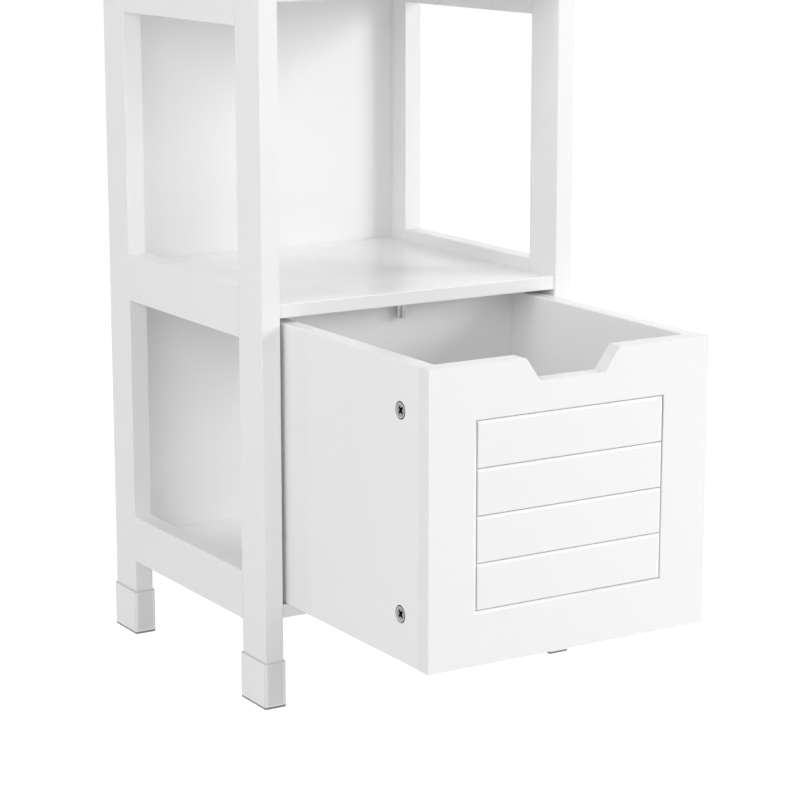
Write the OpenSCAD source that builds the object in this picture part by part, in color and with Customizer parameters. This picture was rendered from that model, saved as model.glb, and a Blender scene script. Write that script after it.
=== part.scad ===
// Bathroom storage tower: two ladder-like side frames carry open shelves, a thin
// back panel and one drawer with a routed plank front and a finger notch.
// Origin: on the floor, in the middle of the space that the tower takes up with its
// drawer open, as it is drawn. +Z is up and the drawer opens towards -Y. Every length
// is in millimetres.

/* [Tower] */
// Width across the two side frames
tower_w = 320; // [290:1:400]
// Depth from the front stiles' faces to the back stiles' faces
tower_d = 300; // [280:1:380]

/* [Side frames] */
// Thickness of the stiles and rails
frame_t = 18; // [16:0.5:24]
// Depth of a stile, seen from the side
stile_d = 42; // [34:1:52]
// Height of a rail
rail_h = 44; // [40:1:60]
// Height of the lowest rails above the floor
leg_h = 72; // [56:1:120]
// Height of the side window beside the drawer
drawer_window_h = 208; // [160:1:260]
// Height of the side window beside an open bay
open_window_h = 222; // [160:1:300]
// Radius of the eased long edges
ease_r = 1; // [0.5:0.1:2]

/* [Shelves and back] */
// Thickness of the shelves, the floor board and the top board
board_t = 12; // [12:0.5:18]
// How far a shelf's top lies below the top of its rails
shelf_drop = 11; // [6:0.5:16]
// Height of the floor board's underside above the underside of the lowest rails
floor_lift = 8; // [4:0.5:14]
// How far the boards' front edges stand behind the stiles' front faces
board_recess = 1.5; // [0:0.1:4]
// Thickness of the back panel
panel_t = 3; // [2.5:0.1:5]
// Distance from the back stiles' rear faces to the back panel
panel_inset = 14; // [8:0.5:18]
// Depth of the grooves that hold the back panel
panel_groove = 6; // [4:0.5:9]

/* [Feet] */
// Height of a foot cap
cap_h = 42; // [25:1:50]
// Wall thickness of a foot cap
cap_wall = 1.4; // [1:0.1:2.5]
// Thickness of a foot cap's sole
cap_sole = 2; // [1.5:0.1:4]
// Radius of a foot cap's upright edges
cap_corner_r = 1.8; // [1.2:0.1:2.4]

/* [Drawer] */
// Thickness of the drawer front
drawer_front_t = 15; // [15:0.5:20]
// Thickness of the drawer sides
drawer_side_t = 15; // [15:0.5:18]
// Thickness of the drawer back
drawer_back_t = 12; // [12:0.5:16]
// Gap between the drawer and the side frame, each side
side_gap = 4.5; // [1.5:0.1:6]
// Gap between the drawer and the shelf above it
top_gap = 4.7; // [2:0.1:10]
// Running gap between the drawer and the floor board
run_gap = 0.3; // [0.2:0.1:1]
// Gap between the closed drawer and the back panel
rear_gap = 2; // [1:0.1:10]
// Thickness of the drawer bottom
bottom_t = 3; // [2.5:0.1:5]
// Height of the drawer bottom's groove above the drawer's lower edge
bottom_lift = 8; // [5:0.5:14]
// Depth of the grooves that hold the drawer bottom
bottom_groove = 5; // [4:0.5:6]

/* [Drawer front] */
// Width of the finger notch at the top edge
notch_top_w = 92; // [80:1:130]
// Width of the finger notch at its floor
notch_floor_w = 64; // [50:1:72]
// Depth of the finger notch
notch_depth = 20; // [12:0.5:30]
// Radius of the notch's upper corners
notch_top_r = 5; // [2:0.5:8]
// Radius of the notch's lower corners
notch_floor_r = 3; // [1:0.5:6]
// Margin from the front's edges to the grooved field
field_margin = 46; // [40:0.5:60]
// Number of planks that the grooves show
plank_count = 4; // [2:1:6]
// Width of a V groove
v_groove_w = 3.4; // [2:0.1:5]

/* [Fittings] */
// Diameter of the large cam locks in the drawer sides
cam_d = 15; // [12:0.5:18]
// How far the large cam locks reach past their bolts' axes
cam_reach = 4.5; // [3.5:0.1:5.5]
// Diameter of the small cam locks in the thin boards
small_cam_d = 12; // [10:0.5:14]
// How far the small cam locks reach past their bolts' axes
small_cam_reach = 3.6; // [3.3:0.1:4.4]
// Distance from a joint to the large cam locks
cam_setback = 27; // [20:0.5:34]
// Distance from a joint to the small cam locks
small_cam_setback = 24; // [18:0.5:30]
// Distance from the drawer's top and bottom edges to its cam locks
cam_edge = 40; // [34:0.5:60]
// Length of a cam bolt's thread
thread_l = 9; // [7:0.5:9.5]
// Diameter of the dowels that join rails to stiles
frame_dowel_d = 8; // [6:0.5:10]
// Length of the dowels that join rails to stiles
frame_dowel_l = 36; // [24:1:44]
// Distance of those dowels from the rail's centre line
frame_dowel_offset = 11; // [8:0.5:14]
// Diameter of the dowels that locate the boards
board_dowel_d = 6; // [5:0.5:7]
// Length of the dowels that locate the boards
board_dowel_l = 20; // [16:1:24]
// Distance of the boards' cam bolts from the rails' ends
board_bolt_inset = 28; // [26:1:40]
// Distance from each of those cam bolts to the dowel beside it
board_dowel_step = 35; // [16:1:50]
// Distance of the drawer's dowels from its middle height
drawer_dowel_z = 36; // [20:1:50]

/* [Drawer stop] */
// Diameter of the stop pin
pin_d = 8; // [5:0.5:10]
// How far the stop pin stands out below the shelf
pin_drop = 18; // [12:0.5:30]
// Depth of the stop pin's hole in the shelf
pin_seat = 9; // [6:0.5:10]
// Distance of the stop pin behind the stiles' front faces
pin_setback = 36; // [25:0.5:60]
// Gap between the open drawer and the stop pin
pin_gap = 0.3; // [0.2:0.1:1]

/* [Hidden] */
open_bays = 4;
frame_levels = open_bays + 2;
sides = [-1, 1];
side_names = ["left", "right"];

shelf_names = [for (i = [1:open_bays]) str("shelf_", i)];
stile_names = [for (s = side_names) for (e = ["front", "back"]) str(s, "_", e, "_stile")];
rail_names = [for (s = side_names) for (i = [1:frame_levels]) str(s, "_rail_", i)];
cap_names = [for (s = side_names) for (e = ["front", "back"]) str(s, "_", e, "_foot_cap")];

$fn = 32;
// Clearance of a dowel, a thread or a cam lock in its bore, on the radius
bore_gap = 0.05;
// Clearance of a panel in its groove, each side
groove_gap = 0.1;
// Clearance of a leg in its foot cap, each side
cap_gap = 0.1;
// How far a cut runs past the surface that it opens
cut_over = 1;
// Straight pieces in each rounded corner of an outline
corner_steps = 6;

// Heights
rail_z = [for (i = [0:frame_levels - 1])
    leg_h + (i == 0 ? 0 : rail_h + drawer_window_h + (i - 1) * (rail_h + open_window_h))];
frame_top = rail_z[frame_levels - 1] + rail_h;
floor_z = leg_h + floor_lift;
function board_z(i) = i == 0 ? floor_z : rail_z[i] + rail_h - shelf_drop - board_t;

// Places across the width and the depth
inner_w = tower_w - 2 * frame_t;
front_y = -tower_d / 2;
back_y = tower_d / 2;
rear_y = back_y + cap_wall + cap_gap;
panel_y = back_y - panel_inset - panel_t;
board_front_y = front_y + board_recess;
rail_l = tower_d - 2 * stile_d;
stile_y = (tower_d - stile_d) / 2;
frame_x = (tower_w - frame_t) / 2;
bolt_y = rail_l / 2 - board_bolt_inset;
bolt_places = [-bolt_y, bolt_y];
dowel_places = [-bolt_y + board_dowel_step, bolt_y - board_dowel_step];

// Drawer, drawn closed and then moved out by its travel
drawer_w = inner_w - 2 * side_gap;
drawer_z = floor_z + board_t + run_gap;
drawer_h = board_z(1) - top_gap - drawer_z;
drawer_d = panel_y - rear_gap - front_y;
drawer_inner_w = drawer_w - 2 * drawer_side_t;
drawer_side_l = drawer_d - drawer_front_t;
drawer_rear_y = front_y + drawer_d;
pin_y = front_y + pin_setback;
drawer_travel = drawer_rear_y - drawer_back_t - (pin_y + pin_d / 2 + pin_gap);
middle_y = (front_y - drawer_travel + rear_y) / 2;
bottom_w = drawer_inner_w + 2 * (bottom_groove - groove_gap);
bottom_d = drawer_side_l - drawer_back_t + 2 * (bottom_groove - groove_gap);
drawer_cam_z = [cam_edge, drawer_h - cam_edge];
drawer_dowel_heights = [drawer_h / 2 - drawer_dowel_z, drawer_h / 2 + drawer_dowel_z];

// Cam bolt: thread, shank, neck and head
thread_d = 6;
shank_d = 5;
neck_d = 3.4;
head_d = 5.4;
head_l = 2.6;
neck_l = 2.4;
bolt_bore_d = 7;
// Cam lock: the passage for the bolt's head, and the cross that turns it
cam_passage_d = 6;
cross_share = 0.5;
cross_w = 1.5;
cross_depth = 2.2;
// Chamfer of the thread's tip, and of the head's edges
thread_tip = 1;
head_edge = 0.6;
// Chamfer of the stop pin's free end
pin_tip = 0.8;
// Depth of a board dowel in the thin top board, and the wood left above it
top_dowel_cover = 4;
top_dowel_seat = board_t - top_dowel_cover;

lacquer = "whitesmoke";
panel_white = "white";
frosted_white = "gainsboro";
zinc = "darkgray";
steel = "silver";
beech = "burlywood";

// ---- Outlines ----

// Unit vector from p to q
function toward(p, q) = (q - p) / norm(q - p);

// Points of the arc that rounds corner p between its neighbours a and b
function corner_arc(a, p, b, r) =
    let (
        u = toward(p, a),
        v = toward(p, b),
        half = acos(u * v) / 2,
        centre = p + toward([0, 0], u + v) * r / sin(half),
        start = p + u * r / tan(half) - centre,
        turn = (u[0] * v[1] - u[1] * v[0] > 0 ? -1 : 1) * (180 - 2 * half)
    )
    [for (k = [0:corner_steps])
        let (t = turn * k / corner_steps)
        centre + [start[0] * cos(t) - start[1] * sin(t), start[0] * sin(t) + start[1] * cos(t)]];

// Outline whose corners, given as [x, y, radius], are rounded
function rounded(corners) = [for (i = [0:len(corners) - 1])
    let (
        n = len(corners),
        a = corners[(i + n - 1) % n],
        p = corners[i],
        b = corners[(i + 1) % n]
    )
    each p[2] > 0
        ? corner_arc([a[0], a[1]], [p[0], p[1]], [b[0], b[1]], p[2])
        : [[p[0], p[1]]]];

// Rectangle centred on the origin with equal rounded corners
module round_rect(w, d, r) {
    polygon(rounded([[-w / 2, -d / 2, r], [w / 2, -d / 2, r], [w / 2, d / 2, r], [-w / 2, d / 2, r]]));
}

// ---- Fittings ----

// Bore along +Z from z = -l to just past z = 0
module bore(d, l) {
    translate([0, 0, -l]) cylinder(d = d, h = l + cut_over);
}

// Dowel along +Z centred on the origin, with eased ends
module dowel(d, l) {
    tip = d / 10;
    for (m = [0, 1]) mirror([0, 0, m]) {
        cylinder(d = d, h = l / 2 - tip);
        translate([0, 0, l / 2 - tip]) cylinder(d1 = d, d2 = d - 2 * tip, h = tip);
    }
}

// Cam bolt along +Z: its thread ends at z = 0 and its head reaches the cam's middle
module cam_bolt(setback) {
    end_z = setback + head_l / 2;
    head_z = end_z - head_l;
    neck_z = head_z - neck_l;
    tip_z = bore_gap - thread_l;
    rotate_extrude() polygon([
        [0, tip_z],
        [thread_d / 2 - thread_tip, tip_z],
        [thread_d / 2, tip_z + thread_tip],
        [thread_d / 2, 0],
        [shank_d / 2, (thread_d - shank_d) / 2],
        [shank_d / 2, neck_z],
        [neck_d / 2, neck_z + (shank_d - neck_d) / 2],
        [neck_d / 2, head_z],
        [head_d / 2, head_z + head_edge],
        [head_d / 2, end_z - head_edge],
        [head_d / 2 - head_edge, end_z],
        [0, end_z]
    ]);
}

// Cam lock with its face at z = 0; its bolt comes in along +X at the given depth
module cam_lock(d, bolt_depth, reach) {
    difference() {
        translate([0, 0, -bolt_depth - reach]) cylinder(d = d, h = bolt_depth + reach);
        translate([0, 0, -bolt_depth]) rotate([0, 90, 0])
            translate([0, 0, -head_l]) cylinder(d = cam_passage_d, h = d / 2 + head_l + cut_over);
        for (a = [0, 90]) rotate(a + 45)
            translate([-d * cross_share / 2, -cross_w / 2, -cross_depth])
                cube([d * cross_share, cross_w, cross_depth + cut_over]);
    }
}

// Cuts for a cam joint: pocket at z = 0, and the bolt's bore out along +X to the joint
module cam_cuts(d, bolt_depth, reach, setback) {
    bore(d + 2 * bore_gap, bolt_depth + reach + bore_gap);
    translate([0, 0, -bolt_depth]) rotate([0, 90, 0]) cylinder(d = bolt_bore_d, h = setback + cut_over);
}

// Hole for half of a dowel between rail and stile, bored down from z = 0
module frame_dowel_bore() {
    bore(frame_dowel_d + 2 * bore_gap, frame_dowel_l / 2);
}

// Hole for a dowel at the end of a board, bored down from z = 0
module board_dowel_bore(l = board_dowel_l / 2) {
    bore(board_dowel_d + 2 * bore_gap, l);
}

// Hole for a cam bolt's thread, bored down from z = 0
module thread_bore() {
    bore(thread_d + 2 * bore_gap, thread_l);
}

// Puts its children at each cam bolt place of one board, on its left or right end
module at_board_bolts(i, side) {
    for (y = bolt_places)
        translate([side * inner_w / 2, y, board_z(i) + board_t / 2])
            rotate([0, -90 * side, 0]) children();
}

// Puts its children at each dowel place of one board, on its left or right end
module at_board_dowels(i, side) {
    for (y = dowel_places)
        translate([side * inner_w / 2, y, board_z(i) + board_t / 2])
            rotate([0, -90 * side, 0]) children();
}

// Puts its children at the two dowel places of one rail end; end is -1 front, 1 back
module at_rail_dowels(i, side, end) {
    for (z = [-frame_dowel_offset, frame_dowel_offset])
        translate([side * frame_x, end * rail_l / 2, rail_z[i] + rail_h / 2 + z])
            rotate([-90 * end, 0, 0]) children();
}

// Puts its children at the places along a top rail: +Z up, at the rail's top
module at_top_rail(side, places) {
    for (y = places) translate([side * frame_x, y, frame_top]) children();
}

// ---- Side frames ----

module stile(side, end) {
    color(lacquer) difference() {
        translate([side * frame_x, end * stile_y, cap_sole])
            linear_extrude(frame_top - cap_sole) round_rect(frame_t, stile_d, ease_r);
        for (i = [0:frame_levels - 1])
            at_rail_dowels(i, side, end) mirror([0, 0, 1]) frame_dowel_bore();
        if (end > 0) panel_slot();
    }
}

// Space that the back panel fills, with its clearance, and where it stands in the stiles
module panel_slot() {
    translate([-inner_w / 2 - panel_groove, panel_y - groove_gap, floor_z])
        cube([inner_w + 2 * panel_groove, panel_t + 2 * groove_gap, frame_top - floor_z + cut_over]);
}

module rail(side, i) {
    color(lacquer) difference() {
        translate([side * frame_x, rail_l / 2, rail_z[i] + rail_h / 2])
            rotate([90, 0, 0]) linear_extrude(rail_l) round_rect(frame_t, rail_h, ease_r);
        for (end = sides)
            at_rail_dowels(i, side, end) frame_dowel_bore();
        if (i < frame_levels - 1) {
            at_board_bolts(i, side) thread_bore();
            at_board_dowels(i, side) board_dowel_bore();
        } else {
            top_rail_cuts(side);
        }
    }
}

// Cam pockets and dowel holes of a top rail, which the top board is fixed to
module top_rail_cuts(side) {
    at_top_cams(side) cam_cuts(cam_d, frame_t / 2, cam_reach, small_cam_setback);
    at_top_rail(side, dowel_places) board_dowel_bore(board_dowel_l - top_dowel_seat);
}

// Puts its children at the top rails' cam places, facing the inside of the tower
module at_top_cams(side) {
    for (y = bolt_places)
        translate([side * inner_w / 2, y, frame_top - small_cam_setback])
            rotate([0, -90 * side, 0]) rotate(side > 0 ? 0 : 180) children();
}

module foot_cap(side, end) {
    outer = 2 * (cap_wall + cap_gap);
    color(frosted_white) translate([side * frame_x, end * stile_y, 0]) difference() {
        linear_extrude(cap_h) round_rect(frame_t + outer, stile_d + outer, cap_corner_r);
        translate([0, 0, cap_sole]) linear_extrude(cap_h)
            round_rect(frame_t + 2 * cap_gap, stile_d + 2 * cap_gap, ease_r);
    }
}

// ---- Boards and back panel ----

// Board i of the tower, with eased front edges; 0 is the floor board
module board(i) {
    color(lacquer) difference() {
        translate([-inner_w / 2, 0, 0]) rotate([90, 0, 90]) linear_extrude(inner_w) polygon(rounded([
            [board_front_y, board_z(i), ease_r],
            [panel_y - groove_gap, board_z(i), 0],
            [panel_y - groove_gap, board_z(i) + board_t, 0],
            [board_front_y, board_z(i) + board_t, ease_r]
        ]));
        for (side = sides) {
            at_board_cams(i, side) cam_cuts(small_cam_d, board_t / 2, small_cam_reach, small_cam_setback);
            at_board_dowels(i, side) mirror([0, 0, 1]) board_dowel_bore();
        }
        if (i == 1) translate([0, pin_y, board_z(1)])
            mirror([0, 0, 1]) bore(pin_d + 2 * bore_gap, pin_seat);
    }
}

// Puts its children at one board's cam places, facing down, with +X to the board's end
module at_board_cams(i, side) {
    for (y = bolt_places)
        translate([side * (inner_w / 2 - small_cam_setback), y, board_z(i)])
            rotate([180, 0, side > 0 ? 0 : 180]) children();
}

module top_board() {
    color(lacquer) difference() {
        translate([-tower_w / 2, 0, 0]) rotate([90, 0, 90]) linear_extrude(tower_w) polygon(rounded([
            [front_y, frame_top, ease_r],
            [back_y, frame_top, ease_r],
            [back_y, frame_top + board_t, ease_r],
            [front_y, frame_top + board_t, ease_r]
        ]));
        for (side = sides) {
            at_top_rail(side, bolt_places) mirror([0, 0, 1]) thread_bore();
            at_top_rail(side, dowel_places) mirror([0, 0, 1]) board_dowel_bore(top_dowel_seat);
        }
    }
}

module back_panel() {
    color(panel_white) translate([-inner_w / 2 - panel_groove + groove_gap, panel_y, floor_z])
        cube([inner_w + 2 * (panel_groove - groove_gap), panel_t, frame_top - floor_z - groove_gap]);
}

module stop_pin() {
    color(steel) translate([0, pin_y, board_z(1) - pin_drop]) {
        cylinder(d1 = pin_d - 2 * pin_tip, d2 = pin_d, h = pin_tip);
        translate([0, 0, pin_tip]) cylinder(d = pin_d, h = pin_drop + pin_seat - pin_tip - bore_gap);
    }
}

// ---- Fittings of the tower ----

module frame_dowels() {
    color(beech) for (side = sides, i = [0:frame_levels - 1], end = sides)
        at_rail_dowels(i, side, end) dowel(frame_dowel_d, frame_dowel_l - 2 * bore_gap);
}

module board_dowels() {
    color(beech) for (side = sides) {
        for (i = [0:open_bays])
            at_board_dowels(i, side) dowel(board_dowel_d, board_dowel_l - 2 * bore_gap);
        at_top_rail(side, dowel_places)
            translate([0, 0, top_dowel_seat - board_dowel_l / 2])
                dowel(board_dowel_d, board_dowel_l - 2 * bore_gap);
    }
}

module board_cam_locks() {
    color(zinc) for (side = sides, i = [0:open_bays])
        at_board_cams(i, side) cam_lock(small_cam_d, board_t / 2, small_cam_reach);
}

module board_cam_bolts() {
    color(steel) for (side = sides, i = [0:open_bays])
        at_board_bolts(i, side) cam_bolt(small_cam_setback);
}

module top_cam_locks() {
    color(zinc) for (side = sides) at_top_cams(side) cam_lock(cam_d, frame_t / 2, cam_reach);
}

module top_cam_bolts() {
    color(steel) for (side = sides)
        at_top_rail(side, bolt_places) mirror([0, 0, 1]) cam_bolt(small_cam_setback);
}

// ---- Drawer ----

// Moves its children from the closed drawer's place to the open one; z = 0 is the lower edge
module in_drawer() {
    translate([0, -drawer_travel, drawer_z]) children();
}

// Space of the drawer bottom's groove in all four boards
module bottom_slot() {
    w = drawer_inner_w + 2 * bottom_groove;
    d = drawer_side_l - drawer_back_t + 2 * bottom_groove;
    translate([-w / 2, front_y + drawer_front_t - bottom_groove, bottom_lift - groove_gap])
        cube([w, d, bottom_t + 2 * groove_gap]);
}

// Puts its children at the drawer front's rear face, over each side board's middle
module at_front_joint(heights, side) {
    for (z = heights)
        translate([side * (drawer_w - drawer_side_t) / 2, front_y + drawer_front_t, z])
            rotate([-90, 0, 0]) children();
}

// Puts its children at each side's inner face, over the back board's middle
module at_back_joint(heights, side) {
    for (z = heights)
        translate([side * drawer_inner_w / 2, drawer_rear_y - drawer_back_t / 2, z])
            rotate([0, -90 * side, 0]) children();
}

// Puts its children at the cam places on a drawer side's outer face, with +X forwards
module at_side_cams(side) {
    for (z = drawer_cam_z)
        translate([side * drawer_w / 2, front_y + drawer_front_t + cam_setback, z])
            rotate([0, 90 * side, 0]) rotate(-90) children();
}

// Puts its children at the cam places on the drawer back's rear face, with +X outwards
module at_back_cams(side) {
    for (z = drawer_cam_z)
        translate([side * (drawer_inner_w / 2 - small_cam_setback), drawer_rear_y, z])
            rotate([-90, 0, 0]) rotate(side > 0 ? 0 : 180) children();
}

// V-shaped bar along X, centred on the origin, cutting half its width deep below z = 0
module v_cut(l) {
    side = v_groove_w / sqrt(2);
    rotate([45, 0, 0]) cube([l, side, side], center = true);
}

// Solid with four sloping sides: w by h at z = 0, and wider by the slope's run at its top
module frustum(w, h, l, run) {
    linear_extrude(l, slices = 1, scale = [1 + 2 * run / w, 1 + 2 * run / h]) square([w, h], center = true);
}

// V-shaped groove round a field whose middle line is w by h, cut into a face at z = 0
module v_ring(w, h) {
    depth = v_groove_w / 2;
    l = depth + cut_over;
    translate([0, 0, -depth]) difference() {
        frustum(w, h, l, l);
        frustum(w, h, l, -l);
    }
}

// Routed grooves of the plank field, cut into a face at z = 0 that looks along +Z
module plank_grooves(w, h) {
    v_ring(w, h);
    for (k = [1:plank_count - 1]) translate([0, -h / 2 + h * k / plank_count, 0]) v_cut(w);
}

module drawer_front() {
    field_w = drawer_w - 2 * field_margin;
    field_h = drawer_h - 2 * field_margin;
    color(lacquer) in_drawer() difference() {
        translate([0, front_y + drawer_front_t, 0]) rotate([90, 0, 0])
            linear_extrude(drawer_front_t) polygon(rounded([
                [-drawer_w / 2, 0, 0],
                [drawer_w / 2, 0, 0],
                [drawer_w / 2, drawer_h, ease_r],
                [notch_top_w / 2, drawer_h, notch_top_r],
                [notch_floor_w / 2, drawer_h - notch_depth, notch_floor_r],
                [-notch_floor_w / 2, drawer_h - notch_depth, notch_floor_r],
                [-notch_top_w / 2, drawer_h, notch_top_r],
                [-drawer_w / 2, drawer_h, ease_r]
            ]));
        translate([0, front_y, drawer_h / 2]) rotate([90, 0, 0]) plank_grooves(field_w, field_h);
        bottom_slot();
        for (side = sides) {
            at_front_joint(drawer_cam_z, side) thread_bore();
            at_front_joint(drawer_dowel_heights, side) board_dowel_bore();
        }
    }
}

module drawer_side(side) {
    color(lacquer) in_drawer() difference() {
        translate([side * (drawer_w - drawer_side_t) / 2, drawer_rear_y, 0]) rotate([90, 0, 0])
            linear_extrude(drawer_side_l) polygon(rounded([
                [-drawer_side_t / 2, 0, ease_r],
                [drawer_side_t / 2, 0, ease_r],
                [drawer_side_t / 2, drawer_h, ease_r],
                [-drawer_side_t / 2, drawer_h, ease_r]
            ]));
        bottom_slot();
        at_side_cams(side) cam_cuts(cam_d, drawer_side_t / 2, cam_reach, cam_setback);
        at_front_joint(drawer_dowel_heights, side)
            mirror([0, 0, 1]) board_dowel_bore();
        at_back_joint(drawer_cam_z, side) thread_bore();
        at_back_joint(drawer_dowel_heights, side) board_dowel_bore();
    }
}

module drawer_back() {
    color(lacquer) in_drawer() difference() {
        translate([-drawer_inner_w / 2, 0, 0]) rotate([90, 0, 90])
            linear_extrude(drawer_inner_w) polygon(rounded([
                [drawer_rear_y - drawer_back_t, 0, 0],
                [drawer_rear_y, 0, 0],
                [drawer_rear_y, drawer_h, ease_r],
                [drawer_rear_y - drawer_back_t, drawer_h, ease_r]
            ]));
        bottom_slot();
        for (side = sides) {
            at_back_cams(side) cam_cuts(small_cam_d, drawer_back_t / 2, small_cam_reach, small_cam_setback);
            at_back_joint(drawer_dowel_heights, side)
                mirror([0, 0, 1]) board_dowel_bore();
        }
    }
}

module drawer_bottom() {
    color(panel_white) in_drawer()
        translate([-bottom_w / 2, front_y + drawer_front_t - bottom_groove + groove_gap, bottom_lift])
            cube([bottom_w, bottom_d, bottom_t]);
}

module drawer_side_cam_locks() {
    color(zinc) in_drawer() for (side = sides)
        at_side_cams(side) cam_lock(cam_d, drawer_side_t / 2, cam_reach);
}

module drawer_back_cam_locks() {
    color(zinc) in_drawer() for (side = sides)
        at_back_cams(side) cam_lock(small_cam_d, drawer_back_t / 2, small_cam_reach);
}

module drawer_cam_bolts() {
    color(steel) in_drawer() for (side = sides) {
        at_front_joint(drawer_cam_z, side) cam_bolt(cam_setback);
        at_back_joint(drawer_cam_z, side) cam_bolt(small_cam_setback);
    }
}

module drawer_dowels() {
    color(beech) in_drawer() for (side = sides) {
        at_front_joint(drawer_dowel_heights, side) dowel(board_dowel_d, board_dowel_l - 2 * bore_gap);
        at_back_joint(drawer_dowel_heights, side) dowel(board_dowel_d, board_dowel_l - 2 * bore_gap);
    }
}

// ---- The assembly ----

// The pieces above are placed about the middle of the side frames
translate([0, -middle_y, 0]) {
    for (s = [0, 1]) {
        for (e = [0, 1]) {
            stile(sides[s], sides[e]);
            foot_cap(sides[s], sides[e]);
        }
        for (i = [0:frame_levels - 1])
            rail(sides[s], i);
    }
    board(0);  // floor_board
    for (i = [1:open_bays])
        board(i);
    top_board();
    back_panel();
    stop_pin();
    frame_dowels();
    board_dowels();
    board_cam_locks();
    board_cam_bolts();
    top_cam_locks();
    top_cam_bolts();
    drawer_front();
    drawer_side(-1);  // drawer_left_side
    drawer_side(1);  // drawer_right_side
    drawer_back();
    drawer_bottom();
    drawer_side_cam_locks();
    drawer_back_cam_locks();
    drawer_cam_bolts();
    drawer_dowels();
}
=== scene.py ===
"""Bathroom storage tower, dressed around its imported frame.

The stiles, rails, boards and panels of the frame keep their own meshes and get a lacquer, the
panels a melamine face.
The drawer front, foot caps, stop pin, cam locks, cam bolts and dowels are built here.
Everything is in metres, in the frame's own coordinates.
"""

import logging
import math
from dataclasses import dataclass, field
from enum import Enum
from typing import Callable, Iterable, Sequence

import bmesh
import bpy
import numpy as np
from bpy.types import ID, Material, Mesh, Node, NodeSocket, NodeTree, Object
from mathutils import Euler, Matrix, Vector


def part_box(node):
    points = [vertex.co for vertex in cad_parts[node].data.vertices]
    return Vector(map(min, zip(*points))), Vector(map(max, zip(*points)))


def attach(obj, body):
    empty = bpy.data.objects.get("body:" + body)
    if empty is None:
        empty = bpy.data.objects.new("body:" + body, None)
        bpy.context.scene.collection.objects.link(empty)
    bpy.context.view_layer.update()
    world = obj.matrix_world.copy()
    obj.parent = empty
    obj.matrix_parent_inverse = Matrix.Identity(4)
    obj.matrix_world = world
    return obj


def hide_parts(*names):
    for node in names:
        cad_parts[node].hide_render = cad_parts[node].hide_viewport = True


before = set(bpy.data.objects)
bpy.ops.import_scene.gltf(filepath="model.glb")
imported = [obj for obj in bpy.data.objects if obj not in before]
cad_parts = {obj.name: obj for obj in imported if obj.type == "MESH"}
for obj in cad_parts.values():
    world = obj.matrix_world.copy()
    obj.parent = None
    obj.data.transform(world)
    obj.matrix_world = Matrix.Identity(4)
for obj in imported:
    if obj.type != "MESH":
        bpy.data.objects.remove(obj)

log = logging.getLogger("storage_tower")
MM = 0.001
NEAR = 1e-6
MERGE_WITHIN = 0.0005 * MM
MICRONS, TENTHS_OF_MM = 6, 4
SHARP_ABOVE = 30.0
QUARTER = math.pi / 2
DARKER_EDGE, PAINTED_HIGHLIGHT_FLANK = "sawn", "flank"
PAINTED_SHADE_LINE, PAINTED_SHADE_CORE = "cap_line", "cap_core"
PAINTED_HIGHLIGHT_RIM, PAINTED_SHADE_RECESS = "lock_rim", "lock_gap"
FLOAT, INT, VECTOR = "NodeSocketFloat", "NodeSocketInt", "NodeSocketVector"
SIDES, ENDS = ("left", "right"), ("front", "back")
UP = Vector((0, 0, 1))
Pair = tuple[float, float]
Triple = tuple[float, float, float]
Colour = Triple
Box = tuple[Vector, Vector]
Place = tuple[Vector, Euler]


class Body(Enum):
    """The two bodies of the frame that pieces ride on."""

    CABINET = "cabinet"
    DRAWER = "drawer"


class Slot(Enum):
    """The record's material slots."""

    LACQUER = "white_lacquer"
    PANEL = "white_panel"
    PLASTIC = "frosted_plastic"
    ZINC = "zinc_alloy"
    PLATED = "plated_steel"
    BRIGHT = "bright_steel"
    BEECH = "beech"


class Axis(Enum):
    """An axis of the frame, as the index of a coordinate."""

    X = 0
    Y = 1
    Z = 2


class Nodes:
    """A node tree while it is being built."""

    def __init__(self, tree: NodeTree) -> None:
        """Takes an unused tree and empties it."""
        self.tree = tree
        tree.nodes.clear()

    def node(self, kind: str, inputs: dict[str | int, object] | None = None,
             **settings: object) -> Node:
        """Adds a node.

        Args:
            kind: the node's type.
            inputs: what feed takes, for its inputs by name or number.
            **settings: the node's own settings.

        Returns:
            The node.
        """
        made = self.tree.nodes.new(kind)
        for label, value in settings.items():
            setattr(made, label, value)
        for label, value in (inputs or {}).items():
            self.feed(made.inputs[label], value)
        return made

    def feed(self, target: NodeSocket, value: object) -> None:
        """Gives a socket a link or a value.

        Args:
            target: the socket.
            value: a socket, a node for its first output, a colour without its alpha, or a value.
        """
        if isinstance(value, Node):
            value = value.outputs[0]
        if isinstance(value, NodeSocket):
            self.tree.links.new(value, target)
        else:
            target.default_value = (*value, 1.0) if target.type == "RGBA" else value

    def calc(self, operation: str, a: object, b: object = 0.0) -> Node:
        """Adds a Math node on what feed takes."""
        return self.node("ShaderNodeMath", {0: a, 1: b}, operation=operation)

    def end_by_ray(self, output: str, lit: Node, seen: Node) -> None:
        """Ends a tree in two shaders, one of them for camera, glossy and transmission rays.

        Args:
            output: the type of the output node.
            lit: the shader that all other rays meet.
            seen: the shader that those three meet.
        """
        rays = self.node("ShaderNodeLightPath").outputs
        direct = rays["Is Camera Ray"]
        for label in ("Is Glossy Ray", "Is Transmission Ray"):
            direct = self.calc("MAXIMUM", direct, rays[label])
        mix = self.node("ShaderNodeMixShader", {0: direct, 1: lit, 2: seen})
        self.node(output, {"Surface": mix})


# ---- Finishes ----


@dataclass(frozen=True)
class Pattern:
    """A noise on the piece: size of its features, finer layers, stretch, and place."""

    size: float
    detail: float = 2.0
    stretch: Triple = (1, 1, 1)
    shift: float = 0.0


Relief = tuple[tuple[Pattern, float], ...]
Marks = tuple[tuple[str, Colour], ...]
Constants = tuple[tuple[str, float], ...]


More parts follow.
